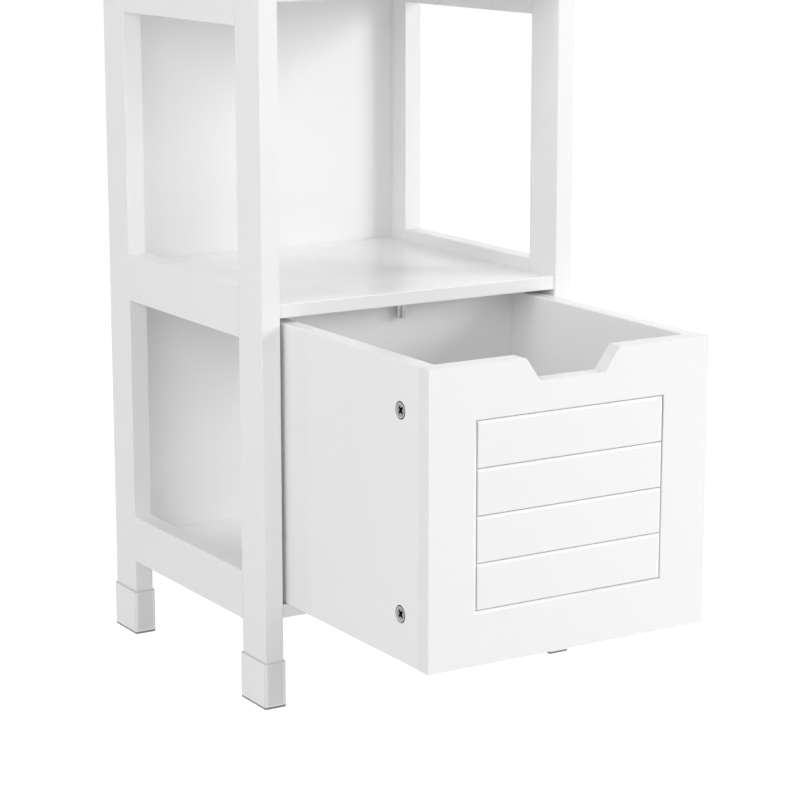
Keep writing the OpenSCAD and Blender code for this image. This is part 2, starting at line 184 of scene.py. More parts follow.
class Shader(Nodes):
    """A material with one Principled shader while it is being built."""

    pattern_ends: Pair = (0.3, 0.7)

    def __init__(self, name: str, colour: Colour, **surface: float) -> None:
        """Starts a material.

        Args:
            name: the material's name.
            colour: the plain base colour, linear.
            **surface: constant values for the shader's sockets.
        """
        self.material = bpy.data.materials.new(name)
        self.material.use_nodes = True
        super().__init__(self.material.node_tree)
        self.surface = self.node("ShaderNodeBsdfPrincipled", {"Base Color": colour, **surface})
        self.node("ShaderNodeOutputMaterial", {"Surface": self.surface})
        self.place = self.node("ShaderNodeTexCoord").outputs["Object"]

    def noise(self, pattern: Pattern) -> Node:
        """Adds a pattern.

        Args:
            pattern: its sizes.

        Returns:
            The node of its value, which is about 0.5 on average.
        """
        mapping = self.node("ShaderNodeMapping", {
            "Vector": self.place, "Location": (pattern.shift,) * 3,
            "Scale": tuple(1 / (pattern.size * s) for s in pattern.stretch)})
        return self.node("ShaderNodeTexNoise", {
            "Vector": mapping, "Scale": 1.0, "Detail": pattern.detail})

    def spread(self, pattern: Pattern, low: float, high: float) -> Node:
        """Turns a pattern's middle range into a range of values.

        Args:
            pattern: the pattern.
            low: the value at its dark end.
            high: the value at its light end.

        Returns:
            The node of the mapped value.
        """
        dark_end, light_end = self.pattern_ends
        return self.node("ShaderNodeMapRange", {
            "Value": self.noise(pattern), "From Min": dark_end, "From Max": light_end,
            "To Min": low, "To Max": high})

    def mix_colours(self, share: object, at_0: object, at_1: object) -> None:
        """Colours the surface between two colours.

        Args:
            share: the node or socket that chooses between them.
            at_0: the colour, or its socket, where that is 0.
            at_1: the colour where it is 1.
        """
        mix = self.node("ShaderNodeMix", {"Factor": share}, data_type="RGBA")
        for socket, colour in zip((s for s in mix.inputs if s.type == "RGBA"), (at_0, at_1)):
            self.feed(socket, colour)
        result = next(s for s in mix.outputs if s.type == "RGBA")
        self.feed(self.surface.inputs["Base Color"], result)

    def blend_colours(self, pattern: Pattern, dark: Colour, light: Colour) -> None:
        """Colours the surface with a pattern, from dark to light."""
        self.mix_colours(self.spread(pattern, 0.0, 1.0), dark, light)

    def shade_by(self, label: str, colour: Colour) -> None:
        """Blends the base colour towards another where the piece's attribute is 1.

        Args:
            label: the attribute's name.
            colour: the colour where it is 1.
        """
        mark = self.node("ShaderNodeAttribute", attribute_name=label)
        base = self.surface.inputs["Base Color"].links[0].from_socket
        self.mix_colours(mark.outputs["Fac"], base, colour)

    def roughen(self, pattern: Pattern, low: float, high: float) -> None:
        """Varies the surface's roughness with a pattern, from low to high."""
        self.feed(self.surface.inputs["Roughness"], self.spread(pattern, low, high))

    def emboss(self, layers: Relief) -> None:
        """Gives the surface a relief.

        Args:
            layers: pairs of a pattern and the height of its relief in metres.
        """
        below: dict[str, Node] = {}
        for pattern, height in layers:
            bump = self.node("ShaderNodeBump", {
                "Height": self.noise(pattern), "Strength": 1.0, "Distance": height, **below})
            below = {"Normal": bump}
        self.feed(self.surface.inputs["Normal"], below["Normal"])


@dataclass(frozen=True)
class Finish:
    """A surface of two tones in a cloud, with a gloss and a relief of their own patterns.

    The marks are attributes of a piece with the colour that they give it. The constants are
    values of the shader.
    """

    name: str
    light: Colour
    dark: Colour
    cloud: Pattern
    roughness: Pair
    gloss: Pattern
    relief: Relief
    marks: Marks = ()
    constants: Constants = ()

    def material(self) -> Material:
        """Builds the material.

        Returns:
            The material.
        """
        shader = Shader(self.name, self.light, **dict(self.constants))
        shader.blend_colours(self.cloud, self.dark, self.light)
        for label, colour in self.marks:
            shader.shade_by(label, colour)
        shader.roughen(self.gloss, *self.roughness)
        shader.emboss(self.relief)
        return shader.material


@dataclass(frozen=True)
class Lacquer(Finish):
    """Sprayed white lacquer on fibreboard: even, satin, wavy, with a faint orange peel."""

    name: str = "white_lacquer"
    light: Colour = (0.93, 0.93, 0.932)
    dark: Colour = (0.918, 0.918, 0.921)
    cloud: Pattern = Pattern(240 * MM, 3.0)
    roughness: Pair = (0.17, 0.23)
    gloss: Pattern = Pattern(38 * MM, 4.0, shift=3.0)
    relief: Relief = (
        (Pattern(80 * MM, 0.0, shift=11.0), 0.015 * MM),
        (Pattern(4.5 * MM, 1.0, shift=7.0), 0.003 * MM))
    # the edge faces are coloured a little darker, and the broad bevels get a painted highlight
    marks: Marks = (
        (DARKER_EDGE, (0.875, 0.875, 0.879)), (PAINTED_HIGHLIGHT_FLANK, (0.99, 0.99, 0.99)))
    constants: Constants = (("IOR", 1.5),)


@dataclass(frozen=True)
class FacedPanel(Finish):
    """Thin fibreboard with a white melamine face, a little flatter than the lacquer."""

    name: str = "white_panel"
    light: Colour = (0.93, 0.93, 0.932)
    dark: Colour = (0.918, 0.918, 0.921)
    cloud: Pattern = Pattern(90 * MM, 4.0, (1, 1, 3))
    roughness: Pair = (0.38, 0.48)
    gloss: Pattern = Pattern(24 * MM, 3.0, shift=5.0)
    relief: Relief = (
        (Pattern(50 * MM, 0.0), 0.04 * MM),
        (Pattern(0.9 * MM, 3.0, (1, 1, 2.5), shift=9.0), 0.006 * MM))
    constants: Constants = (("IOR", 1.46),)


@dataclass(frozen=True)
class FrostedPlastic(Finish):
    """Moulded translucent plastic with a fine frosted face."""

    name: str = "frosted_plastic"
    light: Colour = (0.975, 0.975, 0.978)
    dark: Colour = (0.955, 0.957, 0.96)
    cloud: Pattern = Pattern(12 * MM, 3.0)
    roughness: Pair = (0.3, 0.42)
    gloss: Pattern = Pattern(5 * MM, 4.0, shift=4.0)
    relief: Relief = ((Pattern(0.6 * MM), 0.008 * MM),)
    # painted shade: a greyer core where the leg's shaded front shows, and dark lines at the edges,
    # sole and rim
    marks: Marks = (
        (PAINTED_SHADE_CORE, (0.84, 0.845, 0.85)), (PAINTED_SHADE_LINE, (0.26, 0.265, 0.27)))
    constants: Constants = (("IOR", 1.46),)


@dataclass(frozen=True)
class Metal(Finish):
    """Bare or plated metal, whose relief is the grain that casting or turning leaves."""

    constants: Constants = (("Metallic", 1.0),)


def beech(grain: Axis) -> Finish:
    """Bare beech dowel rod, with grain along one axis and short dark flecks.

    Args:
        grain: the axis.

    Returns:
        The finish.
    """
    fleck_length = 14.0
    stretch = tuple(fleck_length if axis is grain else 1.0 for axis in Axis)
    flecks = Pattern(0.5 * MM, 3.0, stretch)
    return Finish(f"beech_{grain.name.lower()}", light=(0.62, 0.42, 0.24),
                  dark=(0.47, 0.29, 0.15), cloud=flecks, roughness=(0.55, 0.75),
                  gloss=Pattern(2 * MM, stretch=stretch, shift=8.0),
                  relief=((flecks, 0.02 * MM),))


@dataclass(frozen=True)
class FloorPaint:
    """Plain pale studio floor: white to the camera, with the object's soft shadow left in."""

    name: str
    bounce: Colour = (0.8, 0.8, 0.8)
    shadow: Colour = (0.2, 0.2, 0.2)
    glow: float = 0.95

    def material(self) -> Material:
        """Builds the material.

        Returns:
            The material.
        """
        material = bpy.data.materials.new(self.name)
        material.use_nodes = True
        nodes = Nodes(material.node_tree)
        lit = nodes.node("ShaderNodeBsdfDiffuse", {"Color": self.bounce})
        shade = nodes.node("ShaderNodeBsdfDiffuse", {"Color": self.shadow})
        glow = nodes.node("ShaderNodeEmission", {"Strength": self.glow})
        seen = nodes.node("ShaderNodeAddShader", {0: shade, 1: glow})
        nodes.end_by_ray("ShaderNodeOutputMaterial", lit, seen)
        return material


# ---- Meshes ----


def mesh_from(name: str, points: Iterable[Sequence[float]], faces: Iterable[Sequence[int]],
              sharp_above: float = SHARP_ABOVE) -> Mesh:
    """Makes a closed mesh with merged points, outward faces and smooth shading.

    Args:
        name: the mesh's name.
        points: its vertices.
        faces: vertex numbers of each face.
        sharp_above: edges that turn by more degrees than this stay sharp.

    Returns:
        The mesh.
    """
    mesh = bpy.data.meshes.new(name)
    mesh.from_pydata(list(points), [], list(faces))
    return tidied(mesh, sharp_above)


def tidied(mesh: Mesh, sharp_above: float = SHARP_ABOVE) -> Mesh:
    """Merges a mesh's doubles, turns its faces outwards and sets its shading.

    Args:
        mesh: the mesh, which is changed.
        sharp_above: edges that turn by more degrees than this stay sharp.

    Returns:
        The same mesh.
    """
    work = bmesh.new()
    work.from_mesh(mesh)
    bmesh.ops.remove_doubles(work, verts=work.verts, dist=MERGE_WITHIN)
    bmesh.ops.recalc_face_normals(work, faces=work.faces)
    work.to_mesh(mesh)
    work.free()
    return smoothed(mesh, sharp_above)


def smoothed(mesh: Mesh, sharp_above: float = SHARP_ABOVE) -> Mesh:
    """Shades a mesh smooth between its sharp edges.

    Args:
        mesh: the mesh, which is changed.
        sharp_above: edges that turn by more degrees than this stay sharp.

    Returns:
        The same mesh.
    """
    mesh.shade_smooth()
    mesh.set_sharp_from_angle(angle=math.radians(sharp_above))
    return mesh


def linked(name: str, data: ID) -> Object:
    """Puts a mesh, lamp or camera into the scene.

    Args:
        name: the object's name.
        data: the mesh, lamp or camera.

    Returns:
        The object.
    """
    made = bpy.data.objects.new(name, data)
    bpy.context.scene.collection.objects.link(made)
    return made


def modified(name: str, mesh: Mesh, change: Callable[[Object], None]) -> Mesh:
    """Runs modifiers on a mesh.

    Args:
        name: the new mesh's name.
        mesh: the mesh that they start from.
        change: adds them to an object.

    Returns:
        The result, as a plain mesh.
    """
    holder = linked(name, mesh)
    change(holder)
    graph = bpy.context.evaluated_depsgraph_get()
    made = bpy.data.meshes.new_from_object(holder.evaluated_get(graph))
    bpy.data.objects.remove(holder)
    made.name = name
    return made


def mark(mesh: Mesh, label: str, domain: str, values: Sequence[float]) -> None:
    """Writes an attribute of a mesh's points or faces."""
    mesh.attributes.new(label, "FLOAT", domain).data.foreach_set("value", values)


def circle(radius: float, steps: int) -> list[Pair]:
    """Points of a circle about the origin."""
    turns = [2 * math.pi * k / steps for k in range(steps)]
    return [(radius * math.cos(a), radius * math.sin(a)) for a in turns]


def band(low: int, high: int, count: int) -> list[list[int]]:
    """Faces between two rings of count points, given each ring's first point."""
    return [[low + k, low + (k + 1) % count, high + (k + 1) % count, high + k]
            for k in range(count)]


def lofted(name: str, rings: Sequence[tuple[Sequence[Pair], float]],
           sharp_above: float = SHARP_ABOVE) -> Mesh:
    """Skins a stack of level rings into a closed solid.

    Args:
        name: the mesh's name.
        rings: the points of each ring and its height, all with as many points.
        sharp_above: edges that turn by more degrees than this stay sharp.

    Returns:
        The mesh.
    """
    points = [(x, y, z) for ring, z in rings for x, y in ring]
    count, last = len(rings[0][0]), len(points) - len(rings[0][0])
    faces = [face for low in range(0, last, count) for face in band(low, low + count, count)]
    faces += [list(range(count - 1, -1, -1)), list(range(last, last + count))]
    return mesh_from(name, points, faces, sharp_above)


def lathe(name: str, profile: Iterable[Pair], steps: int) -> Mesh:
    """Turns a profile of (radius, height) pairs about Z into a closed solid."""
    return lofted(name, [(circle(radius, steps), height) for radius, height in profile])


def filleted(corners: Sequence[Triple], steps: int = 8) -> list[Pair]:
    """Rounds an outline's corners.

    Args:
        corners: (x, y, radius) of each corner, in order.
        steps: straight pieces in each arc.

    Returns:
        The rounded outline's points.
    """
    points: list[Pair] = []
    for i, (x, y, r) in enumerate(corners):
        if r <= 0:
            points.append((x, y))
            continue
        here = Vector((x, y))
        u = (Vector(corners[i - 1][:2]) - here).normalized()
        v = (Vector(corners[(i + 1) % len(corners)][:2]) - here).normalized()
        half = math.acos(max(-1.0, min(1.0, u.dot(v)))) / 2
        centre = here + (u + v).normalized() * r / math.sin(half)
        start = here + u * r / math.tan(half) - centre
        turn = math.copysign(math.pi - 2 * half, -u.cross(v))
        for k in range(steps + 1):
            a = turn * k / steps
            points.append((centre.x + start.x * math.cos(a) - start.y * math.sin(a),
                           centre.y + start.x * math.sin(a) + start.y * math.cos(a)))
    return points


def solids(node: str) -> list[Box]:
    """Finds the boxes of the separate solids of one CAD node.

    Args:
        node: the node's name.

    Returns:
        Lowest and highest corner of each solid, sorted by place.
    """
    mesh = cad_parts[node].data
    points = np.array([vertex.co for vertex in mesh.vertices])
    _, spot = np.unique(points.round(MICRONS), axis=0, return_inverse=True)
    spot = spot.ravel()
    faces = spot[np.array([face.vertices for face in mesh.polygons])]
    owner, before = np.arange(spot.max() + 1), None
    while not np.array_equal(owner, before):
        before = owner.copy()
        np.minimum.at(owner, faces, owner[faces].min(axis=1, keepdims=True))
    groups = [points[owner[spot] == key] for key in np.unique(owner)]
    found = [(Vector(group.min(0)), Vector(group.max(0))) for group in groups]
    return sorted(found, key=lambda box: tuple(round(c, TENTHS_OF_MM) for c in box[0]))


def longest(box: Box) -> Axis:
    """The axis along which a box is longest."""
    size = box[1] - box[0]
    return max(Axis, key=lambda axis: size[axis.value])


def unit(axis: Axis, sign: float = 1.0) -> Vector:
    """Unit vector along an axis of the frame, or against it for a sign below 0."""
    return Vector([math.copysign(1.0, sign) if each is axis else 0.0 for each in Axis])


def turned(z_axis: Vector, x_axis: Vector | None = None) -> Euler:
    """Rotation that takes +Z and +X of a fitting to two directions of the frame.

    Args:
        z_axis: where its +Z goes.
        x_axis: where its +X goes, square to z_axis, if that matters.

    Returns:
        The rotation.
    """
    if x_axis is None:
        x_axis = unit(Axis.X) if abs(z_axis.z) > NEAR else UP
    return Matrix((x_axis, z_axis.cross(x_axis), z_axis)).transposed().to_euler()


# ---- Geometry node recipes ----


class Recipe(Nodes):
    """A geometry node tree while it is being built, and the maker of meshes from it."""

    def __init__(self, name: str, **sockets: str) -> None:
        """Starts a tree with a geometry input and output and an input for the finish.

        Args:
            name: the tree's name.
            **sockets: the types of its other inputs.
        """
        super().__init__(bpy.data.node_groups.new(name, "GeometryNodeTree"))
        face = self.tree.interface
        for way in ("INPUT", "OUTPUT"):
            face.new_socket("Geometry", in_out=way, socket_type="NodeSocketGeometry")
        self.identifiers: dict[str, str] = {}
        for label, kind in {**sockets, "Finish": "NodeSocketMaterial"}.items():
            made = face.new_socket(label, in_out="INPUT", socket_type=kind)
            self.identifiers[label] = made.identifier
        self.given = self.node("NodeGroupInput").outputs

    def vector(self, x: object = 0.0, y: object = 0.0, z: object = 0.0) -> Node:
        """Joins three values, sockets or nodes into a vector."""
        return self.node("ShaderNodeCombineXYZ", {"X": x, "Y": y, "Z": z})

    def repeat(self, piece: object) -> Node:
        """Sets a piece at each point of the input mesh, turned by the point's own turn.

        Args:
            piece: the node or socket of the geometry that is repeated.

        Returns:
            The node of the instances.
        """
        turn = self.node("GeometryNodeInputNamedAttribute", {"Name": "turn"},
                         data_type="FLOAT_VECTOR")
        rotation = self.node("FunctionNodeEulerToRotation", {"Euler": turn.outputs["Attribute"]})
        return self.node("GeometryNodeInstanceOnPoints", {
            "Points": self.given["Geometry"], "Instance": piece, "Rotation": rotation})

    def close(self, geometry: Node) -> "Recipe":
        """Ends the tree in Realize Instances and Set Material.

        Args:
            geometry: the node of what the tree has made.

        Returns:
            The recipe.
        """
        real = self.node("GeometryNodeRealizeInstances", {"Geometry": geometry})
        dressed = self.node("GeometryNodeSetMaterial", {
            "Geometry": real, "Material": self.given["Finish"]})
        self.node("NodeGroupOutput", {"Geometry": dressed})
        return self

    def make(self, name: str, base: Mesh, finish: Material, **values: object) -> Mesh:
        """Runs the tree on a mesh.

        Args:
            name: the new mesh's name.
            base: the mesh that the tree gets.
            finish: the material that it sets.
            **values: its other inputs.

        Returns:
            The result, as a plain mesh.
        """
        def run(holder: Object) -> None:
            """Adds the tree and sets its inputs.

            Args:
                holder: the object that gets it.
            """
            modifier = holder.modifiers.new("recipe", "NODES")
            modifier.node_group = self.tree
            for label, value in {"Finish": finish, **values}.items():
                modifier[self.identifiers[label]] = value

        return modified(name, base, run)


def carrier(places: Sequence[Place]) -> Mesh:
    """Makes a mesh of points that each hold a turn.

    Args:
        places: position and turn of each point.

    Returns:
        The mesh.
    """
    mesh = bpy.data.meshes.new("places")
    mesh.from_pydata([at for at, _ in places], [], [])
    turn = mesh.attributes.new("turn", "FLOAT_VECTOR", "POINT")
    turn.data.foreach_set("vector", np.array([e for _, e in places], np.float32).ravel())
    return mesh


def row_recipe() -> Recipe:
    """Draws a recipe that repeats one ready-made fitting at each of its places.

    Returns:
        The recipe.
    """
    made = Recipe("fitting_row", Fitting="NodeSocketObject")
    source = made.node("GeometryNodeObjectInfo", {"Object": made.given["Fitting"]})
    return made.close(made.repeat(source.outputs["Geometry"]))


def dowel_recipe() -> Recipe:
    """Draws a recipe for fluted dowels, one at each place.

    It sweeps a star along a line of four points, two at each end, where it gets thinner.

    Returns:
        The recipe.
    """
    made = Recipe("fluted_dowels", Diameter=FLOAT, Length=FLOAT, Ease=FLOAT, Flutes=INT,
                  Flute_Depth=FLOAT)
    given, calc = made.given, made.calc
    spans, thinner, middle, near_end = 3, 0.2, 0.5, 0.4
    line = made.node("GeometryNodeCurvePrimitiveLine", {"End": UP})
    cut = made.node("GeometryNodeSubdivideCurve", {"Curve": line, "Cuts": spans - 1})
    t = made.node("GeometryNodeSplineParameter")
    climb = calc("MULTIPLY", given["Ease"], spans)
    left = calc("MULTIPLY", calc("SUBTRACT", 1.0, t), climb)
    height = made.node("ShaderNodeMix", {
        "Factor": calc("GREATER_THAN", t, middle), "A": calc("MULTIPLY", t, climb),
        "B": calc("SUBTRACT", given["Length"], left)})
    centred = calc("SUBTRACT", height, calc("MULTIPLY", given["Length"], 0.5))
    placed = made.node("GeometryNodeSetPosition", {
        "Geometry": cut, "Position": made.vector(z=centred)})
    from_middle = calc("ABSOLUTE", calc("SUBTRACT", t, middle))
    at_end = calc("GREATER_THAN", from_middle, near_end)
    outer = calc("MULTIPLY", given["Diameter"], 0.5)
    star = made.node("GeometryNodeCurveStar", {
        "Points": given["Flutes"], "Outer Radius": outer,
        "Inner Radius": calc("SUBTRACT", outer, given["Flute_Depth"])})
    swept = made.node("GeometryNodeCurveToMesh", {
        "Curve": placed, "Profile Curve": star, "Fill Caps": True,
        "Scale": calc("SUBTRACT", 1.0, calc("MULTIPLY", at_end, thinner))})
    return made.close(made.repeat(swept))


def plank_recipe() -> Recipe:
    """Draws a recipe that stands a row of planks in a board's open field.

    Each plank has a broad bevel along its top and right edges and a narrow one along the others.

    Returns:
        The recipe.
    """
    made = Recipe("plank_field", Field_Width=FLOAT, Field_Height=FLOAT, Planks=INT, Broad=FLOAT,
                  Narrow=FLOAT, Bevel_Depth=FLOAT, Kerf=FLOAT, Kerf_Depth=FLOAT, Middle=VECTOR)
    given, calc = made.given, made.calc
    kerf, broad, narrow = given["Kerf"], given["Broad"], given["Narrow"]
    pitch = calc("DIVIDE", given["Field_Height"], given["Planks"])
    foot_w = calc("SUBTRACT", given["Field_Width"], kerf)
    foot_h = calc("SUBTRACT", pitch, kerf)
    foot = made.node("GeometryNodeMeshGrid", {
        "Size X": foot_w, "Size Y": foot_h, "Vertices X": 2, "Vertices Y": 2})
    upright = made.node("GeometryNodeExtrudeMesh", {
        "Mesh": foot, "Offset Scale": given["Kerf_Depth"]}, mode="FACES")
    raised = made.node("GeometryNodeExtrudeMesh", {
        "Mesh": upright, "Selection": upright.outputs["Top"],
        "Offset Scale": given["Bevel_Depth"]}, mode="FACES")
    bevels = calc("ADD", broad, narrow)
    shrink = made.vector(calc("SUBTRACT", 1.0, calc("DIVIDE", bevels, foot_w)),
                         calc("SUBTRACT", 1.0, calc("DIVIDE", bevels, foot_h)), 1.0)
    back = calc("MULTIPLY", calc("SUBTRACT", narrow, broad), 0.5)
    place = made.node("GeometryNodeInputPosition")
    scaled = made.node("ShaderNodeVectorMath", {0: place, 1: shrink, 2: made.vector(back, back)},
                       operation="MULTIPLY_ADD")
    plank = made.node("GeometryNodeSetPosition", {
        "Geometry": raised, "Selection": raised.outputs["Top"], "Position": scaled})
    turned_up = made.node("GeometryNodeTransform", {
        "Geometry": plank, "Rotation": (QUARTER, 0.0, 0.0)})
    first = calc("MULTIPLY", calc("SUBTRACT", pitch, given["Field_Height"]), 0.5)
    line = made.node("GeometryNodeMeshLine", {
        "Count": given["Planks"], "Start Location": made.vector(z=first),
        "Offset": made.vector(z=pitch)})
    row = made.node("GeometryNodeInstanceOnPoints", {"Points": line, "Instance": turned_up})
    real = made.node("GeometryNodeRealizeInstances", {"Geometry": row})
    placed = made.node("GeometryNodeTransform", {
        "Geometry": real, "Translation": given["Middle"]})
    both = made.node("GeometryNodeJoinGeometry", {0: placed})
    made.feed(both.inputs[0], given["Geometry"])
    return made.close(both)


# ---- Pieces ----


@dataclass
class Workshop:
    """The finishes and recipes that all pieces share."""

    finishes: dict[Slot, Material] = field(init=False)
    beech: dict[Axis, Material] = field(init=False)
    rows: Recipe = field(default_factory=row_recipe)
    dowels: Recipe = field(default_factory=dowel_recipe)
    planks: Recipe = field(default_factory=plank_recipe)

    def __post_init__(self) -> None:
        """Mixes the finishes."""
        along_z = (1, 1, 30)
        mixed = (
            Lacquer(), FacedPanel(), FrostedPlastic(),
            Metal("zinc_alloy", (0.42, 0.42, 0.425), (0.3, 0.3, 0.305), cloud=Pattern(3 * MM),
                  roughness=(0.38, 0.55), gloss=Pattern(1.5 * MM, 3.0, shift=2.0),
                  relief=((Pattern(0.5 * MM, shift=6.0), 0.02 * MM),),
                  # the rim mark is a painted highlight on the lock's rim, the gap mark painted
                  # shade in its gap ring and cross recess
                  marks=((PAINTED_HIGHLIGHT_RIM, (0.8, 0.8, 0.8)), (PAINTED_SHADE_RECESS, (0.05, 0.05, 0.052)))),
            Metal("plated_steel", (0.62, 0.62, 0.63), (0.5, 0.5, 0.52),
                  cloud=Pattern(2.4 * MM), roughness=(0.3, 0.4),
                  gloss=Pattern(1.2 * MM, 3.0, shift=2.0),
                  relief=((Pattern(0.4 * MM, shift=6.0), 0.006 * MM),)),
            # the pale and dark streaks along the pin are painted reflections
            Metal("bright_steel", (0.98, 0.98, 0.985), (0.5, 0.5, 0.51),
                  cloud=Pattern(2.4 * MM, stretch=along_z), roughness=(0.05, 0.1),
                  gloss=Pattern(3.3 * MM, 3.0, shift=2.0),
                  relief=((Pattern(1.1 * MM, stretch=along_z, shift=6.0), 0.03 * MM),)),
        )
        self.finishes = {Slot(finish.name): finish.material() for finish in mixed}
        self.beech = {axis: beech(axis).material() for axis in Axis}

    def dress(self, nodes: Iterable[str], slot: Slot) -> None:
        """Gives CAD nodes that keep their meshes a finish.

        Args:
            nodes: their names.
            slot: the slot whose finish they get.
        """
        for name in nodes:
            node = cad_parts[name]
            if not node.material_slots:
                node.data.materials.append(None)
            for holder in node.material_slots:
                holder.material = self.finishes[slot]
            log.info("dressed %s as %s", name, slot.value)

    def place(self, name: str, mesh: Mesh, body: Body, slot: Slot, stands_for: Sequence[str],
              finish: Material | None = None) -> None:
        """Puts a finished piece into the scene on its body.

        Args:
            name: the piece's name.
            mesh: its mesh, in place.
            body: the body that it rides on.
            slot: the record's slot of its finish.
            stands_for: the CAD nodes that it replaces.
            finish: its material, if that isn't the slot's usual one.
        """
        piece = linked(name, mesh)
        mesh.materials.clear()
        mesh.materials.append(finish or self.finishes[slot])
        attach(piece, body.value)
        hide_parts(*stands_for)
        log.info("built %s for %s: %d faces", name, ", ".join(stands_for), len(mesh.polygons))

    def repeated(self, name: str, pattern: Mesh, slot: Slot, places: Sequence[Place]) -> Mesh:
        """Repeats one mesh at several places as a single mesh.

        Args:
            name: the new mesh's name.
            pattern: the mesh that is repeated, about the origin.
            slot: the slot whose finish it gets.
            places: position and turn of each copy.

        Returns:
            The mesh of all copies.
        """
        source = linked(name + "_pattern", pattern)
        mesh = self.rows.make(name, carrier(places), self.finishes[slot], Fitting=source)
        bpy.data.objects.remove(source)
        return mesh


@dataclass
class SideFrames:
    """The two ladder frames: stiles and rails that keep the frame's own meshes."""

    workshop: Workshop
    levels: int = 6

    def build(self) -> None:
        """Dresses the stiles and rails."""
        names = [f"{side}_{end}_stile" for side in SIDES for end in ENDS]
        names += [f"{side}_rail_{i + 1}" for side in SIDES for i in range(self.levels)]
        self.workshop.dress(names, Slot.LACQUER)


@dataclass
class Boards:
    """Floor board, shelves, top board and back panel."""

    workshop: Workshop
    shelves: int = 4

    def build(self) -> None:
        """Dresses the boards and the back panel."""
        names = ["floor_board", "top_board"] + [f"shelf_{i + 1}" for i in range(self.shelves)]
        self.workshop.dress(names, Slot.LACQUER)
        self.workshop.dress(["back_panel"], Slot.PANEL)


@dataclass
class FootCaps:
    """The four moulded caps that the legs stand in.

    The leg's front and back, in shade, are painted in as a greyer core inside a light frame, and
    thin lines of painted shade follow the cap's outer edges, its sole and its rim.
    """

    workshop: Workshop
    wall: float = 1.4 * MM
    sole: float = 2.0 * MM
    corner: float = 1.8 * MM
    inner_corner: float = 0.8 * MM
    least_corner: float = 0.3 * MM
    edge: float = 0.6 * MM
    lip: float = 0.35 * MM
    ease_share: float = 0.3
    sole_line: float = 1.9 * MM
    rim_line: float = 0.6 * MM
    corner_band: float = 1.2 * MM
    fade: float = 0.3 * MM
    rim_shade: float = 0.4
    side_shade: float = 0.22
    side_from: float = 0.72
    front_from: float = 0.55
    arc_steps: int = 6
    sharp_above: float = 40.0

    def ring(self, w: float, d: float, r: float) -> list[Pair]:
        """Outline of the cap at one height, with points beside the corners for the frame.

        Args:
            w: its width.
            d: its depth.
            r: its corner radius.

        Returns:
            Its points, anticlockwise.
        """
        beside = (self.fade, self.corner_band, self.corner_band + self.fade)
        stops = [(0.0, -step) for step in reversed(beside)]
        stops += [(k / self.arc_steps, 0.0) for k in range(self.arc_steps + 1)]
        stops += [(1.0, step) for step in beside]
        points = []
        for quarter, (sx, sy) in enumerate(((1, 1), (-1, 1), (-1, -1), (1, -1))):
            for turn, past in stops:
                a = (quarter + turn) * QUARTER
                points.append((sx * (w / 2 - r) + r * math.cos(a) - past * math.sin(a),
                               sy * (d / 2 - r) + r * math.sin(a) + past * math.cos(a)))
        return points

    def paint_shade(self, mesh: Mesh, w: float, d: float, h: float) -> None:
        """Writes the painted shade lines and the painted shade core as attributes of the cap's
        points.

        Args:
            mesh: the cap about the origin, standing on z = 0.
            w: its outer width.
            d: its outer depth.
            h: its height.
        """
        lines, cores = [], []
        frame_top = self.sole_line + 2 * self.fade + self.corner_band - NEAR
        for vertex in mesh.vertices:
            x, y, z = abs(vertex.co.x), abs(vertex.co.y), vertex.co.z
            along_x, along_y = x - (w / 2 - self.corner), y - (d / 2 - self.corner)
            at_side = along_y > -self.fade / 2 and along_x > self.corner * self.side_from
            in_frame = along_x > -self.corner_band - self.fade / 2
            at_front = y > d / 2 - self.corner * self.front_from
            low, high = z < self.sole_line + NEAR, z > h - self.rim_line - NEAR
            # painted shade lines: darkest along the sole, lighter at the rim and along the side
            # edges
            lines.append(1.0 if low else self.rim_shade if high
                         else self.side_shade if at_side else 0.0)
            # painted shade core: the leg's shaded front seen through the front and back faces
            cores.append(float(at_front and not in_frame and z > frame_top and not high))
        mark(mesh, PAINTED_SHADE_LINE, "POINT", lines)
        mark(mesh, PAINTED_SHADE_CORE, "POINT", cores)

    def cap(self, w: float, d: float, h: float) -> Mesh:
        """Makes one cap about the origin, standing on z = 0.

        Args:
            w: its outer width.
            d: its outer depth.
            h: its height.

        Returns:
            Its mesh.
        """
        frame_top = self.sole_line + self.fade + self.corner_band
        heights = (self.edge, self.sole_line, self.sole_line + self.fade, frame_top,
                   frame_top + self.fade, h - self.rim_line - self.fade, h - self.rim_line,
                   h - self.lip)
        edge_in, lip_in = self.edge * self.ease_share, self.lip * self.ease_share
        outside = [(self.edge, 0.0), (edge_in, edge_in), *((0.0, z) for z in heights),
                   (lip_in, h - lip_in), (self.lip, h)]
        inside = [(self.wall - self.lip, h), (self.wall, h - self.lip), (self.wall, self.sole)]
        rings = []
        for stations, corner in ((outside, self.corner), (inside, self.inner_corner)):
            for inset, z in stations:
                radius = max(corner - inset / 2, self.least_corner)
                rings.append((self.ring(w - 2 * inset, d - 2 * inset, radius), z))
        mesh = lofted("foot_cap", rings, self.sharp_above)
        self.paint_shade(mesh, w, d, h)
        return mesh

    def build(self) -> None:
        """Makes the four caps as one piece."""
        names = [f"{side}_{end}_foot_cap" for side in SIDES for end in ENDS]
        boxes = [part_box(name) for name in names]
        size = boxes[0][1] - boxes[0][0]
        places = [(Vector((*((lo + hi) / 2).xy, lo.z)), Euler()) for lo, hi in boxes]
        mesh = self.workshop.repeated("foot_caps", self.cap(*size), Slot.PLASTIC, places)
        self.workshop.place("foot_caps", mesh, Body.CABINET, Slot.PLASTIC, names)


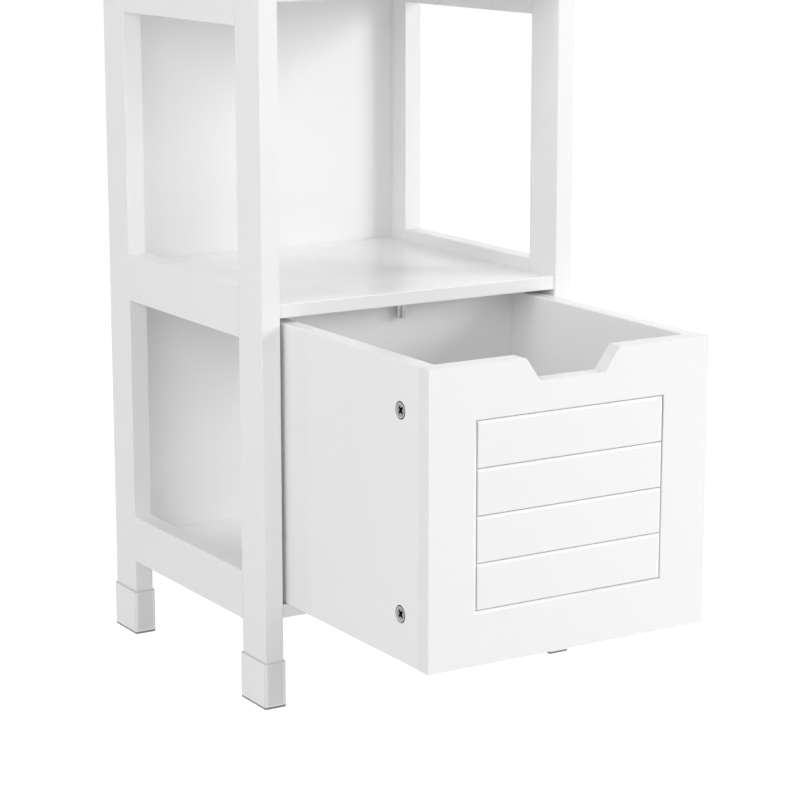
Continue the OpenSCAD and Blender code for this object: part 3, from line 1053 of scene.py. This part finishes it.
@dataclass
class StopPin:
    """The bright pin under the first shelf that keeps the drawer in."""

    workshop: Workshop
    tip: float = 0.8 * MM
    tip_steps: int = 5
    sides: int = 48

    def build(self) -> None:
        """Makes the pin with a rounded free end."""
        lo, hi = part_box("stop_pin")
        radius, length = (hi.x - lo.x) / 2, hi.z - lo.z
        profile = [(0.0, 0.0)]
        for k in range(self.tip_steps + 1):
            a = QUARTER * k / self.tip_steps
            profile.append((radius - self.tip * (1 - math.sin(a)), self.tip * (1 - math.cos(a))))
        profile += [(radius, length), (0.0, length)]
        mesh = lathe("stop_pin_turned", profile, self.sides)
        mesh.transform(Matrix.Translation((*((lo + hi) / 2).xy, lo.z)))
        self.workshop.place("stop_pin_turned", mesh, Body.CABINET, Slot.BRIGHT, ["stop_pin"])


@dataclass
class CamLocks:
    """Round die-cast cam locks with a crosshead recess, set just below the board's face."""

    workshop: Workshop
    gap_share: float = 0.087
    gap_depth: float = 2.4 * MM
    rim: float = 0.5 * MM
    dish: float = 0.35 * MM
    sink: float = 0.1 * MM
    arm_share: float = 0.52
    arm: float = 2.8 * MM
    arm_tip: float = 2.0 * MM
    recess: float = 2.6 * MM
    recess_floor: float = 0.72
    sides: int = 40
    sharp_above: float = 25.0

    def cross(self, reach: float) -> list[Pair]:
        """Outline of the recess, with four arms that get narrower.

        Args:
            reach: how far each arm goes from the middle.

        Returns:
            Its points, anticlockwise.
        """
        points: list[Pair] = []
        for quarter in range(4):
            a = (quarter + 0.5) * QUARTER
            u = Vector((math.cos(a), math.sin(a)))
            v = Vector((-u.y, u.x))
            for out, side in ((self.arm, -self.arm), (2 * reach, -self.arm_tip),
                              (2 * reach, self.arm_tip)):
                points.append(tuple((u * out + v * side) / 2))
        return points

    def lock(self, diameter: float, depth: float) -> Mesh:
        """Makes one lock with its face near z = 0, looking along +Z.

        Args:
            diameter: its diameter.
            depth: its height from the board's face down.

        Returns:
            Its mesh.
        """
        work = bmesh.new()

        def ring(outline: Sequence[Pair], z: float) -> list[bmesh.types.BMVert]:
            """A level ring of vertices."""
            return [work.verts.new((x, y, z)) for x, y in outline]

        r, top, gap = diameter / 2, -self.sink, diameter * self.gap_share
        inner, dish = r - gap - self.rim, top - self.dish
        walls = [ring(circle(radius, self.sides), z) for radius, z in (
            (r, -depth), (r, top - self.gap_depth), (r - gap, top - self.gap_depth),
            (r - gap, top), (inner, top), (inner - self.dish, dish))]
        cross = self.cross(diameter * self.arm_share / 2)
        mouth = ring(cross, dish)
        floor = ring([(x * self.recess_floor, y * self.recess_floor) for x, y in cross],
                     dish - self.recess)
        for low, high in (*zip(walls, walls[1:]), (floor, mouth)):
            for k, vertex in enumerate(low):
                work.faces.new((low[k - 1], vertex, high[k], high[k - 1]))
        work.faces.new(walls[0])
        work.faces.new(floor)
        plate = [work.edges.get((ends[k - 1], ends[k]))
                 for ends in (walls[-1], mouth) for k in range(len(ends))]
        bmesh.ops.triangle_fill(work, edges=plate, use_beauty=True)
        highlit_face, dark = work.faces.layers.float.new(PAINTED_HIGHLIGHT_RIM), work.faces.layers.float.new(PAINTED_SHADE_RECESS)
        for face in work.faces:
            middle = face.calc_center_median()
            outside, below = middle.xy.length > inner, middle.z < top - NEAR
            # painted highlight on the top of the rim
            face[highlit_face] = float(outside and not below)
            # painted shade in the gap ring round the lock and in the cross recess
            face[dark] = float(outside and below or middle.z < dish - NEAR)
        mesh = bpy.data.meshes.new("cam_lock")
        work.to_mesh(mesh)
        work.free()
        return tidied(mesh, self.sharp_above)

    def build_row(self, name: str, node: str, body: Body, face: Callable[[Vector], Vector],
                  bolt: Callable[[Vector], Vector]) -> None:
        """Makes all locks of one CAD node as one piece.

        Args:
            name: the piece's name.
            node: the CAD node that it stands for.
            body: the body that it rides on.
            face: gives the direction that a lock's face looks, from its middle.
            bolt: gives the direction that its bolt comes from, from its middle.
        """
        boxes = solids(node)
        places = []
        for lo, hi in boxes:
            middle = (lo + hi) / 2
            out = face(middle)
            half = abs((hi - lo).dot(out)) / 2
            places.append((middle + out * half, turned(out, bolt(middle))))
        lo, hi = boxes[0]
        depth = abs((hi - lo).dot(face((lo + hi) / 2)))
        mesh = self.workshop.repeated(name, self.lock(max(hi - lo), depth), Slot.ZINC, places)
        self.workshop.place(name, mesh, body, Slot.ZINC, [node])

    def build(self) -> None:
        """Makes the locks under the boards, in the top rails, and in the drawer."""
        def outwards(at: Vector) -> Vector:
            """Away from the middle, along X."""
            return unit(Axis.X, at.x)

        def inwards(at: Vector) -> Vector:
            """Towards the middle, along X."""
            return unit(Axis.X, -at.x)

        for name, node, body, face, bolt in (
                ("locks_under_boards", "board_cam_locks", Body.CABINET, lambda at: -UP, outwards),
                ("locks_in_top_rails", "top_cam_locks", Body.CABINET, inwards, lambda at: UP),
                ("locks_in_drawer_sides", "drawer_side_cam_locks", Body.DRAWER, outwards,
                 lambda at: unit(Axis.Y, -1)),
                ("locks_in_drawer_back", "drawer_back_cam_locks", Body.DRAWER,
                 lambda at: unit(Axis.Y), outwards)):
            self.build_row(name, node, body, face, bolt)


@dataclass
class CamBolts:
    """Plated cam bolts: ridged thread, shank, waisted neck and head."""

    workshop: Workshop
    thread: float = 8.95 * MM
    thread_d: float = 6.0 * MM
    core_d: float = 4.4 * MM
    tip_share: float = 0.7
    tip: float = 0.5 * MM
    ridge_from: float = 0.6 * MM
    ridge_end: float = 0.4 * MM
    ridge: Triple = (0.45, 0.6, 0.95)
    pitch: float = 1.8 * MM
    shank_d: float = 5.0 * MM
    neck_d: float = 3.4 * MM
    neck: float = 2.4 * MM
    head_d: float = 5.4 * MM
    head: float = 2.6 * MM
    head_edge: float = 0.6 * MM
    sides: int = 20

    def bolt(self, length: float) -> Mesh:
        """Makes one bolt from its thread's tip at z = 0 up to its head.

        Args:
            length: its whole length.

        Returns:
            Its mesh.
        """
        outer, core, shank = self.thread_d / 2, self.core_d / 2, self.shank_d / 2
        neck, head = self.neck_d / 2, self.head_d / 2
        profile = [(0.0, 0.0), (core * self.tip_share, 0.0), (core, self.tip)]
        up, down, end = self.ridge
        for k in range(int((self.thread - 2 * self.ridge_from) / self.pitch)):
            z = self.ridge_from + self.pitch * k
            profile += [(radius, z + share * self.pitch) for radius, share in (
                (core, 0.0), (outer, up), (outer, down), (core, end))]
        neck_z, head_z = length - self.head - self.neck, length - self.head
        profile += [
            (core, self.thread - self.ridge_end), (shank, self.thread), (shank, neck_z),
            (neck, neck_z + shank - neck), (neck, head_z), (head, head_z + self.head_edge),
            (head, length - self.head_edge), (head - self.head_edge, length), (0.0, length),
        ]
        return lathe("cam_bolt", profile, self.sides)

    def row(self, name: str, node: str, head_towards: Callable[[Vector, Axis], Vector]) -> Mesh:
        """Makes all bolts of one CAD node, which may have several lengths.

        Args:
            name: the mesh's name.
            node: the CAD node.
            head_towards: gives the direction of a bolt's head from its middle and axis.

        Returns:
            The mesh of all bolts.
        """
        by_length: dict[float, list[Place]] = {}
        for lo, hi in solids(node):
            axis, middle = longest((lo, hi)), (lo + hi) / 2
            length = round((hi - lo)[axis.value], MICRONS)
            out = head_towards(middle, axis)
            by_length.setdefault(length, []).append((middle - out * length / 2, turned(out)))
        work = bmesh.new()
        for length, places in sorted(by_length.items()):
            work.from_mesh(self.workshop.repeated(name, self.bolt(length), Slot.PLATED, places))
        made = bpy.data.meshes.new(name)
        work.to_mesh(made)
        work.free()
        return made

    def build(self) -> None:
        """Makes the bolts of boards, top rails and drawer."""
        def to_middle(at: Vector, axis: Axis) -> Vector:
            """Bolts along X have their heads towards the middle, and those along Y to the rear."""
            return unit(Axis.Y) if axis is Axis.Y else unit(Axis.X, -at.x)

        for name, node, body, rule in (
                ("bolts_of_boards", "board_cam_bolts", Body.CABINET, to_middle),
                ("bolts_of_top_board", "top_cam_bolts", Body.CABINET, lambda at, axis: -UP),
                ("bolts_of_drawer", "drawer_cam_bolts", Body.DRAWER, to_middle)):
            mesh = self.row(name, node, rule)
            self.workshop.place(name, mesh, body, Slot.PLATED, [node])


@dataclass
class Dowels:
    """Fluted beech dowels in the joints."""

    workshop: Workshop
    flutes: int = 12
    flute_depth: float = 0.3 * MM
    ease: float = 1.0 * MM

    def row(self, name: str, node: str, finish: Material) -> Mesh:
        """Makes all dowels of one CAD node, which have one size.

        Args:
            name: the mesh's name.
            node: the CAD node.
            finish: the wood.

        Returns:
            The mesh of all dowels.
        """
        boxes = solids(node)
        places = [((lo + hi) / 2, turned(unit(longest((lo, hi))))) for lo, hi in boxes]
        size = boxes[-1][1] - boxes[-1][0]
        return self.workshop.dowels.make(
            name, carrier(places), finish, Diameter=min(size), Length=max(size), Ease=self.ease,
            Flutes=self.flutes, Flute_Depth=self.flute_depth)

    def build(self) -> None:
        """Makes the dowels of the side frames, the boards and the drawer."""
        for name, node, body, grain in (
                ("dowels_of_frames", "frame_dowels", Body.CABINET, Axis.Y),
                ("dowels_of_boards", "board_dowels", Body.CABINET, Axis.X),
                ("dowels_of_drawer", "drawer_dowels", Body.DRAWER, Axis.Y)):
            wood = self.workshop.beech[grain]
            mesh = tidied(self.row(name, node, wood))
            self.workshop.place(name, mesh, body, Slot.BEECH, [node], wood)


@dataclass
class DrawerFront:
    """The drawer's front: a board with a finger notch and a field of routed planks."""

    workshop: Workshop
    notch_top: float = 92 * MM
    notch_floor: float = 64 * MM
    notch_depth: float = 20 * MM
    notch_top_round: float = 5 * MM
    notch_floor_round: float = 3 * MM
    corner: float = 1 * MM
    margin: float = 46 * MM
    planks: int = 4
    broad: float = 2.4 * MM
    narrow: float = 0.3 * MM
    bevel_depth: float = 1.1 * MM
    kerf: float = 0.9 * MM
    kerf_depth: float = 2.0 * MM
    groove_gap: float = 0.1 * MM
    bore_gap: float = 0.05 * MM
    bore_sides: int = 24
    edge: float = 0.9 * MM
    edge_steps: int = 3
    flat_weight: int = 100
    lip_share: float = 0.25
    rear_share: float = 0.7
    flat_below: float = 20.0
    edge_face_below: float = 0.3
    slope_within: float = 0.01
    arc_steps: int = 5

    def outline(self, w: float, h: float) -> list[Pair]:
        """The front's outline about its lower middle, anticlockwise from the right edge's middle.

        Args:
            w: its width.
            h: its height.

        Returns:
            Its points, with one at the middle of each upright edge.
        """
        top, floor, floor_z = self.notch_top / 2, self.notch_floor / 2, h - self.notch_depth
        return filleted([
            (w / 2, h / 2, 0), (w / 2, h, self.corner), (top, h, self.notch_top_round),
            (floor, floor_z, self.notch_floor_round), (-floor, floor_z, self.notch_floor_round),
            (-top, h, self.notch_top_round), (-w / 2, h, self.corner), (-w / 2, h / 2, 0),
            (-w / 2, 0, 0), (w / 2, 0, 0),
        ])

    def rim(self, w: float, h: float, middle: float) -> tuple[list[Pair], list[int]]:
        """Lip of the frame's bevel round the plank field: broad at the left and below.

        Args:
            w: half the width of the kerf's outline.
            h: half its height.
            middle: height of the field's middle.

        Returns:
            The lip's points, anticlockwise from the middle of the right side, and for each the
            number of the point of the kerf's outline that it falls to.
        """
        points: list[Pair] = []
        goes_to: list[int] = []
        corners = ((1, 1, 1), (-1, 1, 2), (-1, -1, 4), (1, -1, 5))
        for quarter, (sx, sz, point) in enumerate(corners):
            across = self.narrow if sx > 0 else self.broad
            up = self.narrow if sz > 0 else self.broad
            if sx == sz:
                points.append((sx * (w + across), middle))
                goes_to.append(point - 1)
            for k in range(self.arc_steps + 1):
                a = QUARTER * (quarter + k / self.arc_steps)
                points.append((sx * w + across * math.cos(a), middle + sz * h + up * math.sin(a)))
                goes_to.append(point)
        return points, goes_to

    def shell(self, lo: Vector, hi: Vector) -> Mesh:
        """The board with a sunk field where the planks go.

        Args:
            lo: the front's lowest corner.
            hi: its highest corner.

        Returns:
            The closed mesh.
        """
        w, h, x0 = hi.x - lo.x, hi.z - lo.z, (lo.x + hi.x) / 2
        kerf_w, kerf_h = w / 2 - self.margin + self.kerf / 2, h / 2 - self.margin + self.kerf / 2
        outline = self.outline(w, h)
        lip, goes_to = self.rim(kerf_w, kerf_h, h / 2)
        kerf = [(kerf_w, h / 2), (kerf_w, h / 2 + kerf_h), (-kerf_w, h / 2 + kerf_h),
                (-kerf_w, h / 2), (-kerf_w, h / 2 - kerf_h), (kerf_w, h / 2 - kerf_h)]
        levels = ((outline, 0.0), (outline, hi.y - lo.y), (lip, 0.0), (kerf, self.bevel_depth),
                  (kerf, self.bevel_depth + self.kerf_depth))
        points = [(x0 + x, lo.y + depth, lo.z + z) for ring, depth in levels for x, z in ring]
        count, around = len(outline), len(lip)
        lip0, kerf0 = 2 * count, 2 * count + around
        floor0 = kerf0 + len(kerf)
        faces = band(0, count, count) + band(kerf0, floor0, len(kerf))
        faces += [list(range(count, 2 * count)), list(range(floor0, floor0 + len(kerf)))]
        left = next(i for i, (x, z) in enumerate(outline) if x < 0 and abs(z - h / 2) < NEAR)
        lip_left = goes_to.index(3)
        faces.append([*range(left + 1), *range(lip0 + lip_left, lip0 - 1, -1)])
        faces.append([*range(left, count), 0, lip0, *range(kerf0 - 1, lip0 + lip_left - 1, -1)])
        for k in range(around):
            m = (k + 1) % around
            falls = dict.fromkeys((kerf0 + goes_to[m], kerf0 + goes_to[k]))
            faces.append([lip0 + k, lip0 + m, *falls])
        return mesh_from("drawer_front_shell", points, faces)

    def cutter(self) -> Object:
        """Makes the space that the drawer bottom, bolts and dowels take in the board.

        Returns:
            One object with all of it.
        """
        work = bmesh.new()
        lo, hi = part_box("drawer_bottom")
        gap = 2 * self.groove_gap
        size = hi - lo + Vector((gap, gap, gap))
        bmesh.ops.create_cube(work, size=1.0, matrix=Matrix.Translation((lo + hi) / 2)
                              @ Matrix.Diagonal((*size, 1.0)))
        bores = solids("drawer_cam_bolts") + solids("drawer_dowels")
        for lo, hi in (box for box in bores if longest(box) is Axis.Y):
            radius = (hi.x - lo.x) / 2 + self.bore_gap
            at = Matrix.Translation((lo + hi) / 2) @ Matrix.Rotation(QUARTER, 4, "X")
            bmesh.ops.create_cone(work, cap_ends=True, segments=self.bore_sides, radius1=radius,
                                  radius2=radius, depth=hi.y - lo.y + gap, matrix=at)
        mesh = bpy.data.meshes.new("drawer_front_cuts")
        work.to_mesh(mesh)
        work.free()
        return linked("drawer_front_cuts", mesh)

    def weigh_edges(self, mesh: Mesh, lo: Vector, hi: Vector) -> None:
        """Says how far each edge is rounded over: the rim fully, the groove lips a little.

        Args:
            mesh: the front's mesh.
            lo: the front's lowest corner.
            hi: its highest corner.
        """
        work = bmesh.new()
        work.from_mesh(mesh)
        weights = work.edges.layers.float.new("bevel_weight_edge")
        inner = self.margin - self.kerf - self.broad
        for edge in work.edges:
            if len(edge.link_faces) != 2 or edge.calc_face_angle() < math.radians(self.flat_below):
                continue
            middle = (edge.verts[0].co + edge.verts[1].co) / 2
            in_field = (lo.x + inner < middle.x < hi.x - inner
                        and lo.z + inner < middle.z < hi.z - inner)
            if all(abs(v.co.y - lo.y) < NEAR for v in edge.verts):
                edge[weights] = self.lip_share if in_field else 1.0
            elif all(abs(v.co.y - hi.y) < NEAR for v in edge.verts):
                depth = min(middle.x - lo.x, hi.x - middle.x, middle.z - lo.z)
                on_rim = depth < NEAR or middle.z > hi.z - self.notch_depth - NEAR
                edge[weights] = self.rear_share if on_rim else 0.0
        work.to_mesh(mesh)
        work.free()

    def mark_edges(self, mesh: Mesh) -> None:
        """Marks the edge faces, which are coloured a little darker, and the broad bevels, which
        get a painted highlight.

        Args:
            mesh: the finished front.
        """
        slope = self.broad / math.hypot(self.broad, self.bevel_depth)
        turns = [face.normal.y for face in mesh.polygons]
        # faces square to the front, the board's edges, are coloured a little darker
        mark(mesh, DARKER_EDGE, "FACE", [float(abs(y) < self.edge_face_below) for y in turns])
        # painted highlight on the broad bevels that face up and to the right
        mark(mesh, PAINTED_HIGHLIGHT_FLANK, "FACE", [float(abs(y + slope) < self.slope_within) for y in turns])

    def build(self) -> None:
        """Makes the front: shell, cuts for the joints, planks, and rounded edges."""
        lo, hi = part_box("drawer_front")
        depth = self.bevel_depth + self.kerf_depth
        middle = Vector(((lo.x + hi.x) / 2, lo.y + depth, (lo.z + hi.z) / 2))
        cutter = self.cutter()

        def cut(holder: Object) -> None:
            """Adds the cuts.

            Args:
                holder: the board.
            """
            modifier = holder.modifiers.new("cuts", "BOOLEAN")
            modifier.operation, modifier.solver = "DIFFERENCE", "EXACT"
            modifier.object = cutter

        def soften(holder: Object) -> None:
            """Adds the rounded edges.

            Args:
                holder: the planked board.
            """
            modifier = holder.modifiers.new("edges", "BEVEL")
            modifier.limit_method, modifier.width = "WEIGHT", self.edge
            modifier.segments = self.edge_steps
            flat = holder.modifiers.new("flat_faces", "WEIGHTED_NORMAL")
            flat.weight, flat.keep_sharp = self.flat_weight, True

        board = modified("drawer_front_board", self.shell(lo, hi), cut)
        bpy.data.objects.remove(cutter)
        mesh = self.workshop.planks.make(
            "drawer_front_sharp", board, self.workshop.finishes[Slot.LACQUER],
            Field_Width=hi.x - lo.x - 2 * self.margin, Field_Height=hi.z - lo.z - 2 * self.margin,
            Planks=self.planks, Broad=self.broad, Narrow=self.narrow,
            Bevel_Depth=self.bevel_depth, Kerf=self.kerf, Kerf_Depth=self.kerf_depth,
            Middle=middle)
        self.weigh_edges(smoothed(mesh), lo, hi)
        mesh = modified("drawer_front_planked", mesh, soften)
        self.mark_edges(mesh)
        self.workshop.place("drawer_front_planked", mesh, Body.DRAWER, Slot.LACQUER,
                            ["drawer_front"])


@dataclass
class Drawer:
    """The drawer box: sides, back and bottom keep the frame's meshes, the front is built here."""

    workshop: Workshop

    def build(self) -> None:
        """Dresses the box and makes its front."""
        names = ["drawer_left_side", "drawer_right_side", "drawer_back"]
        self.workshop.dress(names, Slot.LACQUER)
        self.workshop.dress(["drawer_bottom"], Slot.PANEL)
        DrawerFront(self.workshop).build()


# ---- Studio ----


@dataclass(frozen=True)
class Softbox:
    """A square lamp that looks at a point."""

    name: str
    bearing: float
    elevation: float
    power: float
    side: float = 1.2
    distance: float = 3.2

    def build(self, target: Vector) -> None:
        """Makes the lamp, which no surface mirrors: its outline would lie across the top board.

        Args:
            target: the point that it looks at.
        """
        a, e = math.radians(self.bearing), math.radians(self.elevation)
        away = Vector((math.sin(a) * math.cos(e), -math.cos(a) * math.cos(e), math.sin(e)))
        data = bpy.data.lights.new(self.name, "AREA")
        data.shape, data.size, data.energy = "SQUARE", self.side, self.power
        lamp = linked(self.name, data)
        lamp.location = target + away * self.distance
        lamp.rotation_euler = away.to_track_quat("Z", "Y").to_euler()
        lamp.visible_glossy = False
        log.info("lamp %s", self.name)


@dataclass
class Studio:
    """Floor, soft light, white surround and the camera."""

    target: Vector = field(default_factory=lambda: Vector((0.0, 0.0, 0.35)))
    ambient: float = 0.36
    floor_side: float = 40.0
    floor_drop: float = 0.2 * MM
    lamps: tuple[Softbox, ...] = (
        Softbox("key_softbox", 52.0, 16.0, 52.5, side=1.3),
        Softbox("left_softbox", -60.0, 20.0, 17.0, side=1.3),
        Softbox("high_left_softbox", -80.0, 40.0, 17.5),
        Softbox("front_softbox", -25.0, 10.0, 6.0),
        Softbox("rear_softbox", 157.0, 20.0, 27.0),
        Softbox("top_softbox", 0.0, 80.0, 15.0),
    )
    camera_at: Vector = field(default_factory=lambda: Vector((-1.15768, -1.88037, 0.7298)))
    camera_yaw: float = 31.61
    camera_pitch: float = 12.21
    focal_share: float = 2519.2 / 800
    sensor: float = 36.0

    def build(self) -> None:
        """Makes the studio, in which colours show as they are written."""
        bpy.context.scene.view_settings.view_transform = "Standard"
        self.build_floor()
        self.build_surround()
        for lamp in self.lamps:
            lamp.build(self.target)
        self.build_camera()

    def build_floor(self) -> None:
        """Makes the floor just under the soles."""
        half = self.floor_side / 2
        corners = ((-half, -half), (half, -half), (half, half), (-half, half))
        mesh = bpy.data.meshes.new("studio_floor")
        mesh.from_pydata([(x, y, -self.floor_drop) for x, y in corners], [], [(0, 1, 2, 3)])
        mesh.materials.append(FloorPaint("studio_floor").material())
        linked("studio_floor", mesh)

    def build_surround(self) -> None:
        """Makes the world: white where it is seen, and a soft even light otherwise."""
        world = bpy.data.worlds.new("studio")
        bpy.context.scene.world = world
        world.use_nodes = True
        nodes = Nodes(world.node_tree)
        soft, white = (nodes.node("ShaderNodeBackground", {
            "Color": (1, 1, 1), "Strength": strength}) for strength in (self.ambient, 1.0))
        nodes.end_by_ray("ShaderNodeOutputWorld", soft, white)

    def build_camera(self) -> None:
        """Makes the camera at the photograph's viewing angle."""
        data = bpy.data.cameras.new("camera")
        data.sensor_width = self.sensor
        data.lens = self.focal_share * self.sensor
        camera = linked("camera", data)
        camera.location = self.camera_at
        camera.rotation_euler = Euler((math.radians(90 - self.camera_pitch), 0.0,
                                       math.radians(-self.camera_yaw)))
        bpy.context.scene.camera = camera


def main() -> None:
    """Builds the tower's pieces and the studio."""
    logging.basicConfig(level=logging.INFO, format="%(name)s: %(message)s")
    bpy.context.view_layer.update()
    workshop = Workshop()
    for part in (SideFrames(workshop), Boards(workshop), FootCaps(workshop), StopPin(workshop),
                 CamLocks(workshop), CamBolts(workshop), Dowels(workshop), Drawer(workshop)):
        part.build()
        log.info("%s done", type(part).__name__)
    Studio().build()
    bpy.context.view_layer.update()


if __name__ == "__main__":
    main()
